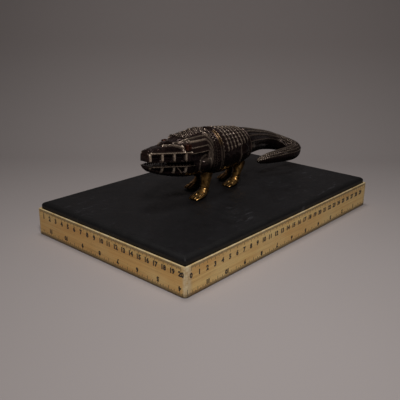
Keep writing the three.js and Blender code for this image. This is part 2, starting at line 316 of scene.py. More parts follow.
def rgb(red, green, blue):
    return (red, green, blue, 1.0)


def slate_material():
    s = Surface("slate")
    where = s.place()
    clouds = s.noise(where, 12, 5, 0.6, 0.4)
    smudges = s.noise(where, 55, 6, 0.7)
    streaks = s.noise(s.place((22, 170, 60)), 1, 6, 0.7)
    scuffs = s.noise(s.place((60, 300, 60)), 1, 3, 0.5, 1.5)
    speckle = s.noise(where, 900, 2, 0.5)
    pale = s.math("MULTIPLY", s.span(clouds, 0.42, 0.68), s.span(smudges, 0.40, 0.72))
    colour = s.mix(pale, rgb(0.0078, 0.0070, 0.0076), rgb(0.018, 0.0166, 0.0180))
    colour = s.mix(s.span(streaks, 0.60, 0.80, 0, 0.5), colour, rgb(0.034, 0.034, 0.040))
    marked = s.math("MULTIPLY", s.span(scuffs, 0.63, 0.70), s.span(clouds, 0.50, 0.60))
    colour = s.mix(s.math("MULTIPLY", marked, 0.6), colour, rgb(0.10, 0.098, 0.105))
    colour = s.mix(s.field("edge"), colour, rgb(0.011, 0.010, 0.010))
    rough = s.span(smudges, 0.35, 0.7, 0.46, 0.64)
    normal = s.bump(streaks, 0.25, 0.0004)
    normal = s.bump(speckle, 0.25, 0.00010, normal)
    return s.finish(colour=colour, roughness=rough, normal=normal, specular=0.3)


def ruler_wood_material():
    s = Surface("ruler_wood")
    board = s.place(attribute="board")
    broad = s.noise(board, 22, 3, 0.5)
    streaks = s.noise(s.place((5, 260, 1), attribute="board"), 1, 6, 0.65, 0.6)
    bands = s.noise(s.place((3, 90, 1), attribute="board"), 1, 3, 0.5, 0.8)
    fine = s.noise(s.place((30, 1500, 1), attribute="board"), 1, 3, 0.6)
    specks = s.noise(board, 420, 4, 0.7)
    colour = s.mix(s.span(streaks, 0.36, 0.64), rgb(0.96, 0.66, 0.235), rgb(0.69, 0.37, 0.095))
    colour = s.mix(s.span(bands, 0.45, 0.65, 0, 0.55), colour, rgb(0.78, 0.39, 0.10))
    colour = s.mix(s.span(broad, 0.40, 0.7, 0, 0.45), colour, rgb(0.97, 0.76, 0.35))
    colour = s.mix(s.span(fine, 0.55, 0.75, 0, 0.5), colour, rgb(0.30, 0.145, 0.04))
    colour = s.mix(s.span(specks, 0.60, 0.74, 0, 0.55), colour, rgb(0.16, 0.085, 0.035))
    rim = s.span(s.noise(board, 170, 5, 0.75), 0.36, 0.60, 0.15, 1)
    worn = s.math("MULTIPLY", s.field("edge"), rim)
    colour = s.mix(s.math("MULTIPLY", s.field("edge"), 0.45), colour, rgb(0.22, 0.13, 0.06))
    colour = s.mix(worn, colour, rgb(0.84, 0.68, 0.42))
    # Painted contact shadow: each board's face goes nearly black along its bottom edge.
    colour = s.mix(s.field("foot"), colour, rgb(0.05, 0.026, 0.012))
    rough = s.span(worn, 0, 1, 0.38, 0.7)
    normal = s.bump(fine, 0.25, 0.00012)
    normal = s.bump(specks, 0.2, 0.0001, normal)
    return s.finish(colour=colour, roughness=rough, normal=normal, coat=0.08, coat_roughness=0.3)


def ink_material():
    s = Surface("ruler_ink")
    worn = s.span(s.noise(s.place(), 900, 3, 0.6), 0.60, 0.78)
    colour = s.mix(worn, rgb(0.010, 0.006, 0.004), rgb(0.12, 0.065, 0.025))
    return s.finish(colour=colour, roughness=s.span(worn, 0, 1, 0.45, 0.6))


def bare_wood_material(name, light, dark, scale):
    s = Surface(name)
    rings = s.noise(s.place(scale), 1, 5, 0.6, 0.6)
    pores = s.noise(s.place(tuple(6 * v for v in scale)), 1, 3, 0.6)
    colour = s.mix(s.span(rings, 0.35, 0.68), light, dark)
    colour = s.mix(s.span(pores, 0.55, 0.8, 0, 0.4), colour, tuple(0.5 * v for v in dark[:3]) + (1.0,))
    normal = s.bump(pores, 0.4, 0.0003)
    return s.finish(colour=colour, roughness=s.span(rings, 0.3, 0.7, 0.62, 0.8), normal=normal)


def plywood_material():
    s = Surface("plywood")
    where = s.place()
    height = s.node("ShaderNodeSeparateXYZ", {"Vector": where}).outputs["Z"]
    plies = s.math("SINE", s.math("MULTIPLY", height, 2 * math.pi / (PLY_PAIR * MM)))
    face = s.noise(s.place((9, 120, 1)), 1, 5, 0.6, 0.5)
    colour = s.mix(s.span(plies, -0.3, 0.3), rgb(0.50, 0.33, 0.16), rgb(0.34, 0.20, 0.085))
    colour = s.mix(s.span(face, 0.4, 0.7, 0, 0.6), colour, rgb(0.58, 0.41, 0.22))
    return s.finish(colour=colour, roughness=s.span(face, 0.3, 0.7, 0.6, 0.8))


def paper_material():
    s = Surface("blotting_paper")
    where = s.place()
    fibres = s.noise(where, 900, 6, 0.75)
    mottle = s.noise(where, 60, 4, 0.6)
    colour = s.mix(s.span(mottle, 0.35, 0.7), rgb(0.70, 0.64, 0.53), rgb(0.60, 0.54, 0.44))
    colour = s.mix(s.span(fibres, 0.55, 0.8, 0, 0.5), colour, rgb(0.46, 0.40, 0.32))
    normal = s.bump(fibres, 0.5, 0.0002)
    return s.finish(colour=colour, roughness=0.95, normal=normal, sheen=0.2)


def bronze_material():
    s = Surface("dark_bronze")
    where = s.place()
    cloud = s.noise(where, 70, 5, 0.65)
    pits = s.noise(where, 650, 4, 0.6)
    colour = s.mix(s.span(cloud, 0.35, 0.68), rgb(0.022, 0.013, 0.012), rgb(0.050, 0.028, 0.024))
    warm = s.span(s.noise(where, 160, 4, 0.6), 0.55, 0.8, 0, 0.6)
    colour = s.mix(warm, colour, rgb(0.085, 0.040, 0.034))
    # Near-black: patina in the sunk places, and painted shade on the underside and lower flanks.
    colour = s.mix(s.math("MULTIPLY", s.field("hollow"), 0.8), colour, rgb(0.007, 0.004, 0.005))
    # Pale lines: real polish on ridges and lips, partly painted highlight on the upper ridges, the cheek
    # boss top and the tail-root swelling.
    patchy = s.math("MULTIPLY", s.span(pits, 0.32, 0.60, 0.45, 1), s.span(cloud, 0.30, 0.55, 0.65, 1))
    bright = s.math("MULTIPLY", s.field("rubbed"), patchy)
    colour = s.mix(bright, colour, rgb(0.66, 0.51, 0.38))
    gleam = s.math("MULTIPLY", s.field("golden"), s.span(pits, 0.3, 0.62, 0.4, 1))
    colour = s.mix(gleam, colour, rgb(0.46, 0.27, 0.11))
    rough = s.math("SUBTRACT", s.span(pits, 0.3, 0.7, 0.20, 0.34), s.math("MULTIPLY", bright, 0.02))
    normal = s.bump(pits, 0.06, 0.0002)
    metallic = s.math("SUBTRACT", s.span(cloud, 0.2, 0.8, 0.60, 0.75), s.math("MULTIPLY", bright, 0.4))
    return s.finish(colour=colour, roughness=rough, metallic=metallic, normal=normal, specular=0.3)


def leg_brass_material():
    s = Surface("leg_brass")
    where = s.place()
    cloud = s.noise(where, 90, 5, 0.65)
    pits = s.noise(where, 800, 4, 0.6)
    colour = s.mix(s.span(cloud, 0.35, 0.7), rgb(0.86, 0.50, 0.17), rgb(0.55, 0.28, 0.08))
    blotches = s.noise(where, 330, 4, 0.65)
    # Near-black in random blotches of patina, in the toe gaps, and as painted shade on each leg's inner
    # side and root.
    dark = s.math("MAXIMUM", s.field("hollow"), s.span(blotches, 0.46, 0.60, 0, 0.88))
    colour = s.mix(dark, colour, rgb(0.024, 0.014, 0.009))
    rough = s.span(pits, 0.3, 0.7, 0.30, 0.44)
    normal = s.bump(pits, 0.15, 0.0002)
    return s.finish(colour=colour, roughness=rough, metallic=0.95, normal=normal)


def copper_material():
    s = Surface("copper")
    cloud = s.noise(s.place(), 300, 4, 0.6)
    colour = s.mix(s.span(cloud, 0.35, 0.7), rgb(0.13, 0.040, 0.024), rgb(0.045, 0.018, 0.013))
    return s.finish(colour=colour, roughness=s.span(cloud, 0.3, 0.7, 0.25, 0.42), metallic=0.85)


def steel_material():
    s = Surface("steel")
    brushed = s.noise(s.place((40, 40, 2500)), 1, 3, 0.6)
    colour = s.mix(s.span(brushed, 0.35, 0.65), rgb(0.46, 0.46, 0.45), rgb(0.34, 0.34, 0.33))
    return s.finish(colour=colour, roughness=s.span(brushed, 0.3, 0.7, 0.28, 0.45), metallic=1.0)


def floor_material():
    s = Surface("floor")
    cloud = s.noise(s.place(), 1.2, 3, 0.5)
    colour = s.mix(s.span(cloud, 0.3, 0.7), rgb(0.47, 0.415, 0.40), rgb(0.50, 0.445, 0.43))
    return s.finish(colour=colour, roughness=0.9, specular=0.1)


# Base


def slab_profile():
    """The slab's rings from the underside up: how far in, how high, and how worn each one is."""
    low = SLATE_LOW.z / MM
    rings = [(3.0, low, 0), (0.5, low, 0), (0.0, low + 0.5, 0.2)]
    rings += [(0.0, height, 0.2) for height in np.linspace(low + 2, SLAB_TOP - SLAB_EDGE_DROP, 4)]
    for angle in np.radians(np.arange(10, 91, 10)):
        inset = SLAB_EDGE_RUN * (1 - math.cos(angle))
        rings.append((inset, SLAB_TOP - SLAB_EDGE_DROP * (1 - math.sin(angle)), math.sin(2 * angle)))
    rings += [(SLAB_EDGE_RUN + step, SLAB_TOP, 0) for step in (1.5, 6, 30)]
    return rings


def rounded_outline(half_x, half_y, radius, steps):
    """A rectangle's outline with round corners, with the same count of points at every size."""
    points = []
    corners = [(1, 1), (-1, 1), (-1, -1), (1, -1)]
    for n, (sx, sy) in enumerate(corners):
        arc = [math.radians(90 * n + 90 * k / 8) for k in range(9)]
        middle = np.array((sx * (half_x - radius), sy * (half_y - radius)))
        points += [middle + radius * np.array((math.cos(a), math.sin(a))) for a in arc]
        nx, ny = corners[(n + 1) % 4]
        after = np.array((nx * (half_x - radius), ny * (half_y - radius)))
        after = after + radius * np.array((math.cos(arc[-1]), math.sin(arc[-1])))
        last = points[-1]
        points += [last + (after - last) * k / steps for k in range(1, steps)]
    return np.array(points)


def build_slab(material):
    half_x = SLATE_HIGH.x / MM
    half_y = SLATE_HIGH.y / MM
    profile = slab_profile()
    rings = []
    for inset, height, worn in profile:
        radius = max(SLAB_CORNER - inset, 0.6)
        outline = rounded_outline(half_x - inset, half_y - inset, radius, SLAB_SIDE_STEPS)
        rings.append(np.column_stack([outline, np.full(len(outline), height)]))
    points = np.array(rings)
    worn = np.array([ring[2] for ring in profile])[:, None]
    chips = 0.10 + 0.10 * grain(points, 9, 1) + 0.9 * np.maximum(grain(points, 14, 2) - 0.45, 0)
    points[..., :2] *= 1 - (chips * worn)[..., None] / np.array((half_x, half_y))
    thing = tube("slate_slab", points, edge=np.repeat(worn, points.shape[1], 1).ravel())
    return place(thing, BODY, material, "slate", "slate_top")


# Which way each ruler runs and faces, how far it is worn round and pale at its two ends, and how
# high its centimetre and inch numbers stand
RULERS = {
    "front": {
        "along": (1, 0), "out": (0, -1),
        "corners": (WORN_CORNER, SHARP_CORNER), "pale": (6.0, 1.5), "numbers": (18.4, 5.9),
    },
    "back": {
        "along": (-1, 0), "out": (0, 1),
        "corners": (SHARP_CORNER, SHARP_CORNER), "pale": (1.2, 1.2), "numbers": (19.4, 6.6),
    },
    "left": {
        "along": (0, -1), "out": (-1, 0),
        "corners": (SHARP_CORNER, WORN_CORNER), "pale": (0.8, 2.6), "numbers": (20.2, 7.5),
    },
    "right": {
        "along": (0, 1), "out": (1, 0),
        "corners": (SHARP_CORNER, SHARP_CORNER), "pale": (1.2, 1.2), "numbers": (19.4, 6.6),
    },
}


def ruler_section(width, thickness):
    """Points round the ruler's end: how deep from the outer face, and how high."""
    worn = TOP_WEAR
    points = []
    for cx, cz, start in [
        (worn, worn, 180),
        (thickness - worn, worn, 270),
        (thickness - worn, width - worn, 0),
        (worn, width - worn, 90),
    ]:
        for k in range(5):
            angle = math.radians(start + 90 * k / 4)
            points.append((cx + worn * math.cos(angle), cz + worn * math.sin(angle)))
    face = [(0.0, width - worn - (width - 2 * worn) * k / 8) for k in range(1, 8)]
    return np.array(points + face)


def ruler_stations(half, corners):
    """Cuts across the board from end to end: how far along, and how far in its rounded ends are."""
    ends = []
    for radius in corners:
        arc = np.radians(np.linspace(0, 45, 7))
        ends.append([(half - radius * (1 - math.sin(a)), radius * (1 - math.cos(a))) for a in arc])
    straight = np.linspace(-(half - corners[0]), half - corners[1], 120)[1:-1]
    start = [(-s, inset) for s, inset in ends[0][::-1]]
    return start + [(s, 0.0) for s in straight] + ends[1]


def build_ruler(name, material):
    """One board, mitred at both ends, with rounded and worn edges."""
    low, high = (np.array(corner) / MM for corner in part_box(f"ruler_{name}"))
    along = np.array(RULERS[name]["along"] + (0,), float)
    out = np.array(RULERS[name]["out"] + (0,), float)
    half = abs(along[:2] @ BASE_HALF)
    depth = abs(out[:2] @ BASE_HALF)
    thickness = abs(out @ (high - low))
    width = high[2] - low[2]
    section = ruler_section(width, thickness)
    seed = list(RULERS).index(name) * 0.37
    stations = ruler_stations(half, RULERS[name]["corners"])
    spots = []
    board = []
    edge = []
    foot = []
    for s, inset in stations:
        inner = np.clip(s, thickness - half, half - thickness)
        pale = RULERS[name]["pale"][0 if s < 0 else 1]
        turned = smooth(half - 1.6 * pale, half - 0.5 * pale, abs(s))
        for d, z in section:
            share = d / thickness
            spot = along * (s + (inner - s) * share) + out * (depth - inset - (thickness - inset) * share)
            spot[2] = low[2] + z
            spots.append(spot)
            board.append((s * MM, z * MM, seed))
            rim = smooth(width - 1.2, width - 0.2, z) * 0.75
            edge.append(max(rim, float(turned) * (share < 0.5)))
            # Painted contact shadow over the bottom 2 mm of the board.
            foot.append(0.85 * (1 - smooth(0.2, 1.8, z)))
    spots = np.array(spots)
    rough = 0.12 + 0.12 * grain(spots, 9, 3)
    spots[:, 2] -= rough * smooth(width - 1.2, width, spots[:, 2] - low[2])
    rings = spots.reshape(len(stations), len(section), 3)
    thing = tube(f"ruler_{name}_board", rings, board=board, edge=edge, foot=foot)
    for polygon in thing.data.polygons:
        polygon.use_smooth = len(polygon.vertices) == 4
    return place(thing, BODY, material, "ruler_wood", f"ruler_{name}")


class Print:
    """Marks and numbers printed on one ruler's outer face, gathered into one mesh."""

    def __init__(self, name):
        low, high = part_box(f"ruler_{name}")
        self.name = name
        self.heights = RULERS[name]["numbers"]
        self.along = Vector(RULERS[name]["along"] + (0,))
        self.out = Vector(RULERS[name]["out"] + (0,))
        half = Vector(BASE_HALF + (0,)) * MM
        corner = self.out * abs(self.out.dot(half)) - self.along * abs(self.along.dot(half))
        self.length = 2 * abs(self.along.dot(half)) / MM
        self.origin = corner + Vector((0, 0, low.z))
        self.width = (high.z - low.z) / MM
        self.vertices = []
        self.faces = []

    def spot(self, across, up, proud):
        return self.origin + (self.along * across + Vector((0, 0, up)) + self.out * proud) * MM

    def mark(self, across, low, high, width):
        first = len(self.vertices)
        for proud in (-0.02, INK_HEIGHT):
            for x, z in ((-1, low), (1, low), (1, high), (-1, high)):
                self.vertices.append(self.spot(across + x * width / 2, z, proud))
        quads = [(0, 1, 2, 3), (4, 7, 6, 5), (0, 4, 5, 1), (1, 5, 6, 2), (2, 6, 7, 3), (3, 7, 4, 0)]
        self.faces += [tuple(first + i for i in quad) for quad in quads]

    def number(self, text, across, up, size, way=1):
        """A number, upside down where way is -1."""
        if not NUMBER_CLEAR < across < self.length - NUMBER_CLEAR:
            return
        curve = bpy.data.curves.new("number", "FONT")
        curve.body = text
        curve.size = size
        curve.align_x = "CENTER"
        curve.align_y = "CENTER"
        curve.extrude = INK_HEIGHT / 2
        curve.offset = NUMBER_WEIGHT
        curve.space_character = NUMBER_SPACING
        curve.resolution_u = 2
        holder = bpy.data.objects.new("number", curve)
        bpy.context.collection.objects.link(holder)
        shape = holder.evaluated_get(bpy.context.evaluated_depsgraph_get()).to_mesh()
        first = len(self.vertices)
        for vertex in shape.vertices:
            x, y, z = vertex.co
            self.vertices.append(self.spot(across + way * x, up + way * y, z + INK_HEIGHT / 2))
        self.faces += [tuple(first + i for i in polygon.vertices) for polygon in shape.polygons]
        holder.to_mesh_clear()
        bpy.data.objects.remove(holder)
        bpy.data.curves.remove(curve)

    def centimetres(self, zero, count):
        top = self.width - CM_DROP
        for mark in range(count * 10 + 1):
            across = zero + mark
            kind = "ten" if mark % 10 == 0 else "five" if mark % 5 == 0 else "one"
            if MARK_CLEAR < across < self.length - MARK_CLEAR:
                self.mark(across, top - CM_MARKS[kind], top, CM_MARK_WIDTH)
        for number in range(count + 1):
            self.number(str(number), zero + number * 10, self.heights[0], CM_NUMBER_SIZE)

    def inches(self, zero):
        for mark in range(INCH_COUNT * 16 + 1):
            across = zero - mark * INCH / 16
            if MARK_CLEAR < across < self.length - MARK_CLEAR:
                self.mark(across, INCH_RISE, INCH_RISE + INCH_MARKS[mark % 16], INCH_MARK_WIDTH)
        for number in range(1, INCH_COUNT):
            self.number(str(number), zero - number * INCH, self.heights[1], INCH_NUMBER_SIZE, -1)

    def build(self, material):
        thing = mesh_object(f"ruler_{self.name}_print", self.vertices, self.faces, soft=False)
        return place(thing, BODY, material, "ruler_wood")


def print_scales(name, material):
    """Centimetres run along the top and inches run the other way along the bottom."""
    scales = Print(name)
    is_long = name in ("front", "back")
    count = 30 if is_long else 20
    zero = LONG_SCALE_START if is_long else scales.length - SHORT_SCALE_END - 10 * count
    scales.centimetres(zero, count)
    scales.inches(zero + INCH_END)
    return scales.build(material)


def build_paper(material):
    """One sheet under the press block, folded up over its two short ends with soft folds."""
    half_x, half_y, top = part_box("blotting_paper")[1] / MM
    turn = np.radians(np.arange(15, 91, 15))
    left = [(-half_x, top), (-half_x, PAPER_FOLD)]
    left += [(PAPER_FOLD * (1 - math.cos(a)) - half_x, PAPER_FOLD * (1 - math.sin(a))) for a in turn]
    flat = np.linspace(PAPER_FOLD - half_x, half_x - PAPER_FOLD, 60)[1:-1]
    right = [(-x, z) for x, z in left[::-1]]
    outer = np.array(left + [(x, 0.0) for x in flat] + right)
    step = np.gradient(outer, axis=0)
    normal = np.column_stack([-step[:, 1], step[:, 0]])
    normal /= np.linalg.norm(normal, axis=1, keepdims=True)
    inner = outer + normal * PAPER_THICKNESS
    loop = np.vstack([outer, inner[::-1]])
    points = np.array([[(x, y, z) for x, z in loop] for y in np.linspace(-half_y, half_y, 24)])
    thing = tube("blotting_sheet", points)
    return place(thing, PAD, material, "blotting_paper", "blotting_paper")


def dress_hidden_parts():
    """The parts below the slab keep their frame shapes, with softened edges and real materials."""
    light = rgb(0.62, 0.44, 0.23)
    dark = rgb(0.44, 0.27, 0.12)
    lengthwise = bare_wood_material("softwood", light, dark, (7, 110, 110))
    crosswise = bare_wood_material("softwood_cross", light, dark, (110, 7, 110))
    plywood = plywood_material()
    steel = steel_material()
    for name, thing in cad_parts.items():
        if name in ("batten_left", "batten_right"):
            dress(thing, crosswise, 0.6)
        elif name.startswith(("batten", "corner_stop")):
            dress(thing, lengthwise, 0.6)
        elif name == "press_block":
            dress(thing, plywood, 0.6)
        elif name.startswith(("leg_stud", "leg_washer", "leg_nut")):
            dress(thing, steel, 0.25)


def dress(thing, material, bevel):
    thing.data.materials.clear()
    thing.data.materials.append(material)
    edge = thing.modifiers.new("edges", "BEVEL")
    edge.width = bevel * MM
    edge.segments = 3
    edge.limit_method = "ANGLE"
    edge.angle_limit = math.radians(40)


# Crocodile, in millimetres: x along the body from head to tail, s sideways from its middle plane, and
# h above the slab

RING_STEP = 0.42
RING_POINTS = 300
HEAD_START = -98.0
HEAD_SEAM = -20.0
TAIL_SEAM = 46.0
MOUTH_CORNER = -49.0
LIP_GAP = 2.0
CELL_START = -96.5
CELL_PITCH = 12.9
CELL_COUNT = 3
TOOTH_PITCH = 3.6
TOOTH_LENGTH = 2.4

# Shelves behind the eye: how far out from the cheek's corner each one starts, and how tall it is
CHEEK_SHELVES = [(2.6, 4.6), (7.6, 4.6), (12.6, 5.2), (18.2, 4.6)]

# Trunk: the two collar rings, the plated stretch, one plate's length and width, and two lines behind
COLLAR_RINGS = (-11.4, -8.2)
PLATES_START = -5.2
PLATES_END = 41.0
PLATE_LENGTH = 6.1
PLATE_WIDTH = 4.4
RIB_LINE = 22.5
HIP_LINE = 43.0

# Tail: where its four shelves run, as shares of a turn from the top
TAIL_SHELVES = (0.03, 0.09, 0.15, 0.215)

# x, lowest and highest point, half width, squareness above and below
BODY_ROWS = [
    (-98, 41.5, 56.6, 6.0, 0.50, 0.7),
    (-95, 39.0, 58.8, 7.2, 0.50, 0.7),
    (-88, 35.5, 60.2, 8.8, 0.50, 0.7),
    (-78, 31.8, 60.6, 11.2, 0.50, 0.7),
    (-68, 28.6, 61.2, 13.8, 0.55, 0.7),
    (-58, 26.4, 61.8, 16.6, 0.60, 0.7),
    (-52, 25.2, 63.2, 18.2, 0.66, 0.7),
    (-42, 24.0, 64.7, 20.0, 0.75, 0.75),
    (-30, 22.0, 66.2, 21.0, 0.85, 0.8),
    (-20, 20.5, 67.2, 20.5, 0.90, 0.85),
    (-9, 18.5, 67.2, 21.3, 0.95, 0.9),
    (8, 17.2, 65.4, 21.0, 1.0, 0.95),
    (26, 18.2, 63.0, 20.5, 1.0, 1.0),
    (38, 20.2, 60.9, 19.4, 1.0, 1.0),
    (46, 22, 59.8, 18.0, 1.0, 1.0),
]


class Skin:
    """A closed grid of rings: base points, and how far each is pushed out along its normal."""

    def __init__(self, points):
        self.base = points
        across = np.roll(points, -1, axis=1) - np.roll(points, 1, axis=1)
        down = np.gradient(points, axis=0)
        normal = np.cross(across, down)
        length = np.linalg.norm(normal, axis=-1, keepdims=True)
        self.normal = normal / np.maximum(length, 1e-9)
        middle = points.mean(axis=1, keepdims=True)
        if ((points - middle) * self.normal).sum() < 0:
            self.normal = -self.normal
        self.height = np.zeros(points.shape[:2])

    def finished(self):
        return self.base + self.normal * self.height[..., None]


def body_section(x, count):
    """The rings of the head and trunk at each x: sideways s and height h."""
    angle = np.linspace(0, 2 * math.pi, count, endpoint=False)
    low, high, wide = (through(BODY_ROWS, c, x)[:, None] for c in (1, 2, 3))
    square_top, square_low = (through(BODY_ROWS, c, x)[:, None] for c in (4, 5))
    middle, half = (low + high) / 2, (high - low) / 2
    upper = np.sin(angle)[None] >= 0
    square = np.where(upper, square_top, square_low)
    s = wide * power(np.cos(angle)[None], square)
    h = middle + half * power(np.sin(angle)[None], square)
    return s, h


def croc_grid(start, end):
    """The smooth body between two places, as rings of points."""
    x = np.arange(start, end + RING_STEP / 2, RING_STEP)
    x[-1] = end
    s, h = body_section(x, RING_POINTS)
    return np.stack([np.repeat(x[:, None], RING_POINTS, 1), s, h], axis=-1)


def capped(points, steps, dome):
    """Rings that close the grid's two ends with slightly domed faces."""
    rings = [points]
    for ring, way in ((points[0], -1), (points[-1], 1)):
        middle = ring.mean(axis=0)
        cap = []
        for share in np.linspace(1, 0.02, steps)[1:]:
            closer = middle + (ring - middle) * share
            closer[:, 0] += way * dome * (1 - share**6)
            cap.append(closer)
        rings.append(np.array(cap))
    return np.concatenate([rings[1][::-1], rings[0], rings[2]])


def rim_height(x):
    """The raised line along the top of the upper jaw's side."""
    return np.interp(x, [-98, -96, -55, -30], [57, 56.6, 52.2, 50.3])


def mouth_height(x):
    """The middle of the open mouth."""
    return np.interp(x, [-112, MOUTH_CORNER], [48.7, 40.9])


def wrap(x, h):
    """Distance out from the corner of the cheek, which the lines behind the eye bend round."""
    back = (x + 30.5) / 0.55
    up = h - 48
    bent = np.hypot(np.maximum(back, 0), np.maximum(up, 0))
    return np.where(back > 0, np.where(up > 0, bent, back), up)


def ledge(above, pitch, lip=0.35):
    """A shelf seen from the side: full just above its lip, thinning out upwards, and cut in below."""
    return smooth(-lip, lip, above) * (1 - np.clip(above / pitch, 0, 1)) ** 1.1


def jaw_cells(x, h, side):
    """Square hollows with posts between them along both jaws."""
    rim, mouth = rim_height(x), mouth_height(x)
    row_end = CELL_START + CELL_COUNT * CELL_PITCH
    cell = sawtooth((x - CELL_START) / CELL_PITCH)
    row = plateau(CELL_START, row_end, 0.3, x)
    sunk = plateau(0.10, 0.90, 0.025, cell) * row
    post = (1 - plateau(0.085, 0.915, 0.03, cell)) * plateau(CELL_START - 1.3, row_end + 1.3, 0.3, x)
    peak = 0.8 * (1 - np.abs(2 * cell - 1))
    upper = plateau(mouth + 3.0, rim - 1.6 + peak, 0.3, h) * side
    lower = plateau(mouth - 9.6, mouth - 3.6, 0.3, h) * side
    height = -2.6 * sunk * upper - 1.8 * sunk * lower
    height += 0.5 * post * plateau(mouth + 2.2, rim, 0.4, h) * side
    height += 0.6 * plateau(0.28, 0.72, 0.04, cell) * plateau(mouth + 4.4, rim - 3.2, 0.3, h) * row * side
    last_cell = plateau(row_end - CELL_PITCH, row_end, 0.2, x)
    slash = crest((cell - 0.22 - 0.45 * (mouth - 3.6 - h) / 6) * CELL_PITCH, 0.8) * lower * last_cell
    height += 1.5 * slash
    rubbed = 0.9 * post * plateau(mouth + 2.4, rim, 0.4, h) * side
    rubbed += 0.8 * post * plateau(mouth - 9.6, mouth - 3.0, 0.4, h) * side + 0.7 * slash
    return height, rubbed


def snout_lines(x, s, h, side):
    """The rim above the cells, the hollow over it, and the two ridges that run out to the eyes."""
    rim, mouth = rim_height(x), mouth_height(x)
    run = side * (1 - smooth(-52, -50, x))
    height = 1.4 * ledge(h - rim, 3.0) * run * smooth(-97.5, -95.5, x)
    rubbed = crest(h - rim - 0.3, 0.6) * run * smooth(-97, -95, x)
    jaw_line = crest(h - (mouth - 2.6), 0.55) * side * (1 - smooth(-58, -50, x)) * smooth(-97, -94, x)
    height += 0.7 * jaw_line
    rubbed += 0.7 * jaw_line

    out = s - (4.0 + 0.575 * (x + 77))
    ridge = plateau(-78, -58.5, 0.8, x) * smooth(0.2, 0.5, (h - rim) / 6)
    height += 1.7 * ledge(-out, 4.5) * ridge
    rubbed += 0.8 * crest(out + 0.5, 0.7) * ridge
    valley = plateau(-76, -66.5, 0.8, x) * (1 - smooth(-3.6, -2.4, out)) * (h > rim)
    height -= 1.8 * valley
    hollow = plateau(rim + 2.0, rim + 6.5, 0.6, h) * plateau(-80, -58.5, 1.0, x) * side
    height -= 1.0 * hollow
    nostril = np.hypot((x + 93) / 1.6, (s - 3.4) / 1.3)
    height -= 1.2 * (1 - smooth(0.6, 1.1, nostril)) * (h > rim)
    return height, rubbed


def cheek_lines(x, s, h, side):
    """Four shelves behind the eye that bend down round the cheek, and the egg-shaped boss inside them."""
    around = wrap(x, h)
    behind = smooth(-52.5, -51.0, x) * (1 - smooth(-21.5, HEAD_SEAM - 0.2, x))
    behind = behind * smooth(0.30, 0.50, s / 20) * smooth(25, 31, h)
    bent = 1 - 0.55 * smooth(-32, -27, x)
    height = np.zeros_like(x)
    rubbed = np.zeros_like(x)
    for start, tall in CHEEK_SHELVES:
        height += 2.1 * ledge(around - start, tall) * behind
        rubbed += crest(around - start - 0.2, 0.40) * behind * bent * smooth(30, 46, h)
    height -= 1.4 * behind * plateau(-6, 2.0, 0.6, around)
    boss = np.sqrt(((x + 32.5) / 7.2) ** 2 + ((h - 37.0) / 7.6) ** 2)
    dome = np.maximum(1 - boss**2, 0) ** 0.6 * side
    height += 3.6 * dome
    ring = crest(boss - 1.25, 0.13) * side
    front = 1 - smooth(-34, -28, x)
    height += 1.1 * ring * front
    # The ring round the boss is rubbed; the top of the boss gets a painted highlight.
    rubbed += 0.3 * ring * front + 0.25 * dome * smooth(38, 43, h)
    post = crest(x + 59.6, 0.7) * plateau(rim_height(x), rim_height(x) + 6.8, 0.5, h) * side
    height += 1.3 * post
    rubbed += 0.7 * post
    brow = plateau(-60.5, -50.5, 0.7, x) * crest(h - rim_height(x) - 9.6, 1.4) * smooth(7, 9, s)
    height += 1.4 * brow
    rubbed += 0.15 * brow
    return height, rubbed


def crown(x, s, h):
    """The raised middle of the head: a faceted forehead, then rough scales back to the neck."""
    half = np.interp(x, [-67, -52, -30, -20], [4.5, 11.0, 12.5, 13.0])
    on_top = smooth(56, 59, h)
    inside = 1 - smooth(-0.4, 0.5, s - half)
    rise = smooth(-67, -64, x) * inside * on_top
    height = 1.5 * rise
    rubbed = 0.5 * crest(s - half + 0.4, 0.6) * smooth(-66, -64, x) * on_top
    step = smooth(-52.5, -51.2, x) * (1 - smooth(8.2, 9.2, s)) * on_top
    height += 1.1 * step
    rough = triangle(x / 3.4 + 0.2 * np.sin(s)) * triangle(s / 3.0 + 0.5 * np.floor(x / 3.4))
    height += 1.5 * (rough - 0.3) * step
    rubbed += 0.7 * smooth(0.35, 0.65, rough) * step
    facet = np.abs(s - 0.45 * (x + 66))
    height -= 0.5 * crest(facet, 0.6) * plateau(-65, -53, 1, x) * on_top
    return height, rubbed


def head_relief(points):
    """The head's raised and sunk detail, and how rubbed and highlighted and how golden each place is."""
    x, s, h = points[..., 0], np.abs(points[..., 1]), points[..., 2]
    side = smooth(0.55, 0.85, s / through(BODY_ROWS, 3, x))
    height = 0.30 * grain(points, 6.0, 5) + 0.05 * grain(points, 2.2, 6)
    rubbed = np.zeros_like(x)
    mouth_parts = [jaw_cells(x, h, side), snout_lines(x, s, h, side)]
    for raised, bright in mouth_parts + [cheek_lines(x, s, h, side), crown(x, s, h)]:
        height += raised
        rubbed += bright
    return height, rubbed, np.zeros_like(x)


def neck_scales(x, around, h):
    """Rough scales over the neck, and fainter ones down its sides."""
    before_collar = 1 - smooth(-13.5, -12.5, x)
    neck = before_collar * smooth(56, 59, h)
    sides = before_collar * smooth(28, 34, h) * (1 - neck)
    rough = triangle(x / 3.2) * triangle(around / 3.0 + 0.5 * np.floor(x / 3.2))
    height = (1.6 * neck + 0.9 * sides) * (rough - 0.3)
    return height, smooth(0.4, 0.7, rough) * (0.6 * neck + 0.25 * sides)


def collar(lean, h):
    """Two rings, golden high up and rubbed lower down, with a groove between and one behind."""
    height = -1.1 * crest(lean + 9.8, 0.6) - 1.0 * crest(lean + 5.8, 1.0)
    high = smooth(50, 56, h)
    ring_foot = smooth(24, 27, h)
    golden = 0
    rubbed = 0
    for at in COLLAR_RINGS:
        line = crest(lean - at, 0.45)
        height += 1.7 * crest(lean - at, 0.65) * ring_foot
        golden += 0.75 * line * high * (1 - smooth(64.5, 66, h))
        rubbed += 0.25 * line * ring_foot * (1 - high)
    return height, rubbed, golden


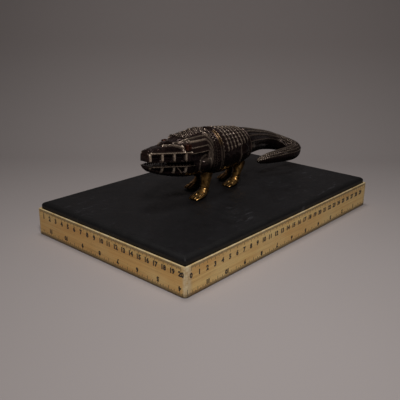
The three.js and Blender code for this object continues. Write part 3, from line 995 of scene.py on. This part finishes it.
def back_plates(x, lean, around, h):
    """Rows of keeled plates, each one rising to its rear lip."""
    saw = sawtooth((lean + 5.0 - 0.9 * triangle(around / PLATE_WIDTH)) / PLATE_LENGTH)
    low_edge = np.interp(x, [-6, 20, TAIL_SEAM], [44, 46, 50])
    plated = plateau(PLATES_START, PLATES_END, 0.8, lean) * smooth(low_edge - 2, low_edge + 1, h)
    plate = saw**1.4 * (1 - smooth(0.86, 1.0, saw))
    keel = crest((triangle(around / PLATE_WIDTH + 0.5) - 1) * 2.2, 0.6)
    lip = smooth(0.62, 0.80, saw) * (1 - smooth(0.90, 0.97, saw))
    return (3.2 * plate - 1.0 + 0.6 * keel * plate) * plated, plated * lip * (0.50 + 0.30 * keel)


def flank_lines(x, s, lean, h):
    """A line behind the ribs, one before the hips, and the swellings of the thigh and shoulder."""
    height = np.zeros_like(x)
    rubbed = np.zeros_like(x)
    for at, band, wide, tall, bright in [
        (RIB_LINE, plateau(25, 48, 2.5, h), 0.9, 1.3, 0.3),
        (HIP_LINE, plateau(28, 60, 3, h), 1.0, 1.4, 0.25),
    ]:
        height += tall * crest(lean - at, wide) * band
        rubbed += bright * crest(lean - at, 0.5) * band
    thigh = np.sqrt(((x - 33) / 9.5) ** 2 + ((h - 34) / 12) ** 2)
    height += 2.2 * np.maximum(1 - thigh**2, 0) ** 0.6 * smooth(0.6, 0.9, s / 19)
    shoulder = np.sqrt(((x + 14.5) / 6) ** 2 + ((h - 32) / 12) ** 2)
    height += 1.6 * np.maximum(1 - shoulder**2, 0) ** 0.6 * smooth(0.6, 0.9, s / 20)
    return height, rubbed


def trunk_relief(points):
    """The trunk's raised and sunk detail, and how rubbed and highlighted and how golden each place is."""
    x, s, h = points[..., 0], np.abs(points[..., 1]), points[..., 2]
    around = np.arctan2(s, np.maximum(h - 42, -40)) * 22
    lean = x - 0.055 * (68 - h)
    height = 0.25 * grain(points, 7.0, 8) + 0.04 * grain(points, 2.4, 9)
    ring_height, rubbed, golden = collar(lean, h)
    height += ring_height
    parts = [neck_scales(x, around, h), back_plates(x, lean, around, h), flank_lines(x, s, lean, h)]
    for raised, bright in parts:
        height += raised
        rubbed += bright
    return height, rubbed, golden


# Tail: middle x, sideways distance and height, half width, half height, from the hip to the tip
TAIL_ROWS = [
    (0, 46, 0, 41.2, 18.0, 19.2),
    (1, 58, 0.5, 41.0, 16.2, 17.4),
    (2, 74, 1.5, 39.5, 14.2, 15.0),
    (3, 92, 3.0, 37.0, 12.2, 13.0),
    (4, 108, 4.0, 33.5, 10.6, 11.6),
    (5, 121, 3.0, 29.8, 9.4, 10.6),
    (6, 130.5, -3.0, 26.4, 8.8, 9.8),
    (7, 133.5, -13.0, 24.0, 8.4, 9.4),
    (8, 128, -22.5, 22.8, 8.0, 9.4),
    (9, 115, -26.0, 22.3, 7.0, 9.3),
    (10, 98, -23.0, 21.6, 6.0, 8.4),
    (11, 82, -17.5, 20.5, 4.8, 7.0),
    (12, 71, -13.5, 19.3, 3.4, 4.6),
    (13, 66, -12.5, 18.8, 1.5, 2.0),
]


def unit(vectors):
    return vectors / np.linalg.norm(vectors, axis=-1, keepdims=True)


def swept(middle, across, up, wide, tall, count):
    """Oval rings along a path, and each point's angle round its ring."""
    angle = np.linspace(0, 2 * math.pi, count, endpoint=False)
    sideways = (wide[:, None] * np.cos(angle))[..., None] * across[:, None, :]
    upwards = (tall[:, None] * np.sin(angle))[..., None] * up[:, None, :]
    return middle[:, None, :] + sideways + upwards, angle


def tail_grid(count):
    """The smooth tail, square to the body where it starts."""
    steps = np.linspace(0, len(TAIL_ROWS) - 1, 420)
    middle = np.stack([through(TAIL_ROWS, column, steps) for column in (1, 2, 3)], axis=-1)
    wide, tall = (through(TAIL_ROWS, column, steps) for column in (4, 5))
    body_way = np.array((1.0, 0, 0))
    along = np.gradient(middle, axis=0)
    along[0] = body_way
    turned = smooth(0, 0.5, steps)[:, None]
    along = unit(unit(along) * turned + body_way * (1 - turned))
    across = unit(np.cross(along, (0, 0, 1.0)))
    points, angle = swept(middle, across, np.cross(across, along), wide, tall, count)
    distance = np.concatenate([[0], np.cumsum(np.linalg.norm(np.diff(middle, axis=0), axis=1))])
    return points, distance, angle, steps


def tail_relief(distance, angle, steps):
    """Shelves along the top, crossed scales between them further on, and a smooth lower side."""
    run = distance[:, None]
    away = np.abs(angle[None, :] / (2 * math.pi) - 0.25)
    away = np.minimum(away, 1 - away)
    size = np.interp(steps, [0, 4, 13], [1.0, 0.75, 0.3])[:, None]
    girth = np.interp(steps, [0, 4, 9, 13], [112, 70, 46, 10])[:, None]
    scaly = smooth(2.2, 4.2, steps)[:, None]
    height = np.zeros((len(distance), len(angle)))
    rubbed = np.zeros_like(height)
    beads = 0.75 + 0.25 * np.cos(run * 2 * math.pi / 2.6)
    strength = 1 - scaly + scaly * beads
    for level in TAIL_SHELVES:
        above = (level - away) * girth
        height += 2.0 * size * (ledge(above, 0.05 * girth, 0.3) - 0.3) * strength
        rubbed += 0.55 * crest(above - 0.3, 0.42) * strength
    hatch = triangle(run / 3.0 + away * girth / 5) * triangle(run / 3.0 - away * girth / 5)
    between = (1 - smooth(0.20, 0.22, away)) * scaly
    height += 1.0 * size * hatch * between
    rubbed += 0.18 * smooth(0.3, 0.6, hatch) * between
    height -= 2.0 * crest(run - 1.0, 2.0)
    # A swelling on the tail's side near its root, with a painted highlight on it.
    flank = crest((away - 0.27) * girth, 3.0) * crest(run - 7.5, 3.5)
    height += 1.5 * flank
    rubbed += 0.35 * flank
    return height, rubbed, np.zeros_like(height)


def on_slab(points):
    """Points measured from the crocodile's own middle plane and feet, moved to their place."""
    return points + np.array((0, AXIS_Y, SLAB_TOP))


def croc_piece(name, points, fields, material, *replaced):
    """One bronze casting from its rings."""
    rubbed, golden, hollow = (np.clip(field, 0, 1).ravel() for field in fields)
    thing = tube(name, on_slab(points), rubbed=rubbed, golden=golden, hollow=hollow)
    return place(thing, BODY, material, "dark_bronze", *replaced)


def pushed(points, relief):
    """The grid with its relief on it, and its rubbed and highlighted, golden, and patinated and shaded
    places.
    """
    skin = Skin(points)
    skin.height, rubbed, golden = relief(points)
    return skin.finished(), (rubbed, golden, darkened(skin))


def darkened(skin):
    """Darker places: patina in the sunk places, and painted shade on the underside and, in part, on the
    lower flanks.
    """
    # Painted shade on faces that turn downwards.
    under = 0.9 * smooth(0.35, 0.85, -skin.normal[..., 2])
    # Painted shade on the lower flanks, below about 54 mm.
    flank = 0.6 * smooth(54, 44, skin.base[..., 2])
    return np.maximum(smooth(-0.2, -1.8, skin.height), np.maximum(under, flank))


def closed(points, fields, steps=14, dome=0.8):
    """The grid closed at both ends, with the fields carried over the caps."""
    whole = capped(points, steps, dome)
    extra = (len(whole) - len(points)) // 2
    return whole, [np.pad(field, ((extra, extra), (0, 0)), mode="edge") for field in fields]


def build_head(material):
    """Skull and jaw are one skin, parted along the mouth."""
    grid = croc_grid(HEAD_START, HEAD_SEAM)
    points, fields = pushed(grid, head_relief)
    x = points[..., 0]
    skull = points.copy()
    roof = np.maximum(points[..., 2], mouth_height(x) + LIP_GAP)
    skull[..., 2] = np.where(x < MOUTH_CORNER, roof, points[..., 2])
    croc_piece("crocodile_skull", *closed(skull, fields), material, "crocodile_head")
    keep = grid[:, 0, 0] < MOUTH_CORNER + 1.5
    jaw = points[keep]
    jaw[..., 2] = np.minimum(jaw[..., 2], mouth_height(x[keep]) - LIP_GAP)
    fields = [field[keep] for field in fields]
    croc_piece("crocodile_jaw", *closed(jaw, fields, dome=0.5), material, "crocodile_lower_jaw")


def build_trunk(material):
    points, fields = pushed(croc_grid(HEAD_SEAM, TAIL_SEAM), trunk_relief)
    whole, fields = closed(points, fields, steps=6, dome=0.3)
    croc_piece("crocodile_back", whole, fields, material, "crocodile_trunk")


def build_tail(material):
    grid, distance, angle, steps = tail_grid(160)
    skin = Skin(grid)
    skin.height, rubbed, golden = tail_relief(distance, angle, steps)
    fields = (rubbed, golden, darkened(skin))
    croc_piece("crocodile_tail_scales", skin.finished(), fields, material, "crocodile_tail")


# Each leg: where its foot and its shoulder stand along the body, and how far sideways it is
LEG_STANCES = {
    "front_left": (-31, -24, -13.5),
    "front_right": (-9, -16, 13.5),
    "rear_left": (26, 36, -10),
    "rear_right": (42, 37, 10),
}


def leg_grid(foot_x, shoulder_x, side):
    """A smooth leg, swept from the peg in the body down the shank and out to the toes."""
    knee_x = shoulder_x * 0.65 + foot_x * 0.35 + 1
    rows = [
        (0, shoulder_x, side, 26.0, 6.6, 6.4),
        (1, knee_x, side, 20.0, 6.0, 5.8),
        (2, foot_x + 4.5, side, 13.0, 5.0, 4.7),
        (3, foot_x + 2.8, side, 7.5, 5.0, 4.6),
        (4, foot_x - 1.0, side, 4.4, 6.0, 4.0),
        (5, foot_x - 7.0, side, 3.0, 7.0, 2.7),
        (6, foot_x - 12.0, side, 2.0, 6.6, 1.9),
        (7, foot_x - 14.5, side, 1.4, 5.4, 1.2),
    ]
    steps = np.linspace(0, len(rows) - 1, 110)
    middle = np.stack([through(rows, column, steps) for column in (1, 2, 3)], axis=-1)
    wide, thick = (through(rows, column, steps) for column in (4, 5))
    along = unit(np.gradient(middle, axis=0))
    across = np.repeat(np.array([[0, 1.0, 0]]), len(steps), 0)
    points, angle = swept(middle, across, np.cross(along, across), wide, thick, 96)
    return points, steps[:, None], angle


def build_leg(name, material):
    """Three toes, a wrinkled shank and a raised shin; patina in the gaps between the toes, and painted
    shade on the side that faces the other leg and at the root under the body.
    """
    foot_x, shoulder_x, side = LEG_STANCES[name]
    points, steps, angle = leg_grid(foot_x, shoulder_x, side)
    skin = Skin(points)
    toes = smooth(4.6, 5.4, steps)
    gaps = crest((sawtooth(np.cos(angle) * 1.5 + 0.5) - 0.5) * 2.6, 0.42) * toes
    wrinkles = np.sin(steps * 9) * smooth(1.5, 2.5, steps) * (1 - toes)
    shin = crest((angle - 1.2 * math.pi) * 2, 0.9) * (1 - smooth(2, 4, steps))
    skin.height += 0.18 * wrinkles + 0.9 * shin - 1.5 * gaps
    made = skin.finished()
    made[..., 2] = np.maximum(made[..., 2], 0.12)
    # Painted shade on the side that faces the other leg.
    inner = 0.96 * smooth(-0.2, 0.4, -np.sign(side) * skin.normal[..., 1])
    # Painted shade at the leg's root, under the body.
    root = 0.8 * (1 - smooth(0.3, 1.5, steps))
    hollow = np.maximum(np.maximum(gaps, root), inner)
    thing = tube(f"leg_{name}_casting", on_slab(made), hollow=hollow.ravel())
    return place(thing, BODY, material, "leg_brass", f"leg_{name}")


# Eye, from its root out to the sunk pupil: each ring's size as a share, and how proud it stands
EYE_RINGS = [
    (1.0, -4.5),
    (1.0, -0.6),
    (0.94, -0.15),
    (0.8, 0.0),
    (0.55, -0.05),
    (0.45, -0.5),
    (0.25, -0.6),
    (0.02, -0.6),
]
EYE_POINTS = 48


def build_eye(name, material):
    """A square stud with a sunk pupil."""
    low, high = (Vector(v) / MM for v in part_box(name))
    middle = (low + high) / 2
    way = -1 if middle.y < AXIS_Y else 1
    outer = way * (abs(middle.y - AXIS_Y) + abs(high.y - low.y) / 2)
    half = (high.x - low.x) / 2
    angle = np.linspace(0, 2 * math.pi, EYE_POINTS, endpoint=False)
    rings = []
    for share, proud in EYE_RINGS:
        square = 0.35 if share > 0.6 else 1.0
        x = middle.x + half * share * power(np.cos(angle), square)
        y = np.full(EYE_POINTS, AXIS_Y + outer + way * proud)
        z = middle.z + half * share * power(np.sin(angle), square)
        rings.append(np.column_stack([x, y, z]))
    thing = tube(f"{name}_stud", np.array(rings))
    return place(thing, BODY, material, "copper", name)


def build_teeth(material):
    """Short teeth inside the mouth, above and below, along both sides."""
    vertices = []
    faces = []
    for x in np.arange(-92.0, -52.0, TOOTH_PITCH):
        wide = float(through(BODY_ROWS, 3, np.array([x]))[0]) - 2.2
        for side, way in ((-1, -1), (-1, 1), (1, -1), (1, 1)):
            first = len(vertices)
            y = AXIS_Y + side * wide
            root = SLAB_TOP + float(mouth_height(x)) + way * TOOTH_LENGTH
            for u, v in ((-1, -1), (1, -1), (1, 1), (-1, 1)):
                vertices.append(Vector((x + u * 1.1, y + v * 0.8, root)) * MM)
            vertices.append(Vector((x, y, root - way * TOOTH_LENGTH)) * MM)
            faces.append(tuple(first + i for i in (3, 2, 1, 0)))
            faces += [(first + i, first + (i + 1) % 4, first + 4) for i in range(4)]
    thing = mesh_object("crocodile_teeth", vertices, faces, False, rubbed=[0.08] * len(vertices))
    recalculate(thing)
    return place(thing, BODY, material, "dark_bronze")


# Stage


def build_floor():
    """A pale sweep: a floor that turns up into a backdrop, square to the camera's view."""
    forward = np.array((math.cos(CAMERA_YAW), math.sin(CAMERA_YAW)))
    side = np.array((-forward[1], forward[0]))
    start = np.array(CAMERA_AT[:2])
    wall = SWEEP_START + SWEEP_RADIUS
    profile = [(-2.0, 0.0), (-0.5, 0.0), (0.3, 0.0), (SWEEP_START, 0.0)]
    for angle in np.radians(np.arange(7.5, 91, 7.5)):
        away = SWEEP_START + SWEEP_RADIUS * math.sin(angle)
        profile.append((away, SWEEP_RADIUS * (1 - math.cos(angle))))
    profile += [(wall, 1.0), (wall, SWEEP_TOP)]
    vertices = []
    for away, height in profile:
        for across in (-SWEEP_HALF_WIDTH, SWEEP_HALF_WIDTH):
            spot = start + forward * away + side * across
            vertices.append((spot[0], spot[1], height))
    faces = [(2 * i, 2 * i + 1, 2 * i + 3, 2 * i + 2) for i in range(len(profile) - 1)]
    floor = mesh_object("floor", vertices, faces)
    floor.data.materials.append(floor_material())


def build_lights():
    """Two soft lamps, and a faint even glow from all round."""
    world = bpy.data.worlds.new("studio")
    bpy.context.scene.world = world
    world.use_nodes = True
    background = world.node_tree.nodes["Background"]
    background.inputs["Color"].default_value = WORLD_COLOUR
    background.inputs["Strength"].default_value = WORLD_STRENGTH
    for name, light in LIGHTS.items():
        lamp = bpy.data.lights.new(name, "AREA")
        lamp.shape = "DISK"
        lamp.size = LIGHT_SIZE
        lamp.energy = light["watts"]
        lamp.spread = math.radians(light["spread"])
        thing = bpy.data.objects.new(name, lamp)
        thing.location = light["spot"]
        way = Vector(light["target"]) - Vector(light["spot"])
        thing.rotation_euler = way.to_track_quat("-Z", "Y").to_euler()
        bpy.context.collection.objects.link(thing)


def build_camera():
    flat = math.cos(CAMERA_PITCH)
    heading = (flat * math.cos(CAMERA_YAW), flat * math.sin(CAMERA_YAW), -math.sin(CAMERA_PITCH))
    forward = Vector(heading)
    level = Vector((math.sin(CAMERA_YAW), -math.cos(CAMERA_YAW), 0))
    upright = level.cross(forward)
    right = level * math.cos(CAMERA_ROLL) + upright * math.sin(CAMERA_ROLL)
    up = upright * math.cos(CAMERA_ROLL) - level * math.sin(CAMERA_ROLL)
    lens = bpy.data.cameras.new("camera")
    lens.lens = CAMERA_LENS
    lens.sensor_width = 36
    camera = bpy.data.objects.new("camera", lens)
    turn = Matrix((right, up, -forward)).transposed().to_4x4()
    camera.matrix_world = Matrix.Translation(CAMERA_AT) @ turn
    bpy.context.collection.objects.link(camera)
    scene = bpy.context.scene
    scene.camera = camera
    scene.view_settings.view_transform = "Standard"
    scene.view_settings.look = "None"


def build_all():
    build_camera()
    build_floor()
    build_lights()
    build_slab(slate_material())
    wood = ruler_wood_material()
    ink = ink_material()
    for name in RULERS:
        build_ruler(name, wood)
        print_scales(name, ink)
    build_paper(paper_material())
    dress_hidden_parts()
    bronze = bronze_material()
    build_head(bronze)
    build_teeth(bronze)
    build_trunk(bronze)
    build_tail(bronze)
    brass = leg_brass_material()
    for name in LEG_STANCES:
        build_leg(name, brass)
    copper = copper_material()
    for name in ("eye_left", "eye_right"):
        build_eye(name, copper)


build_all()
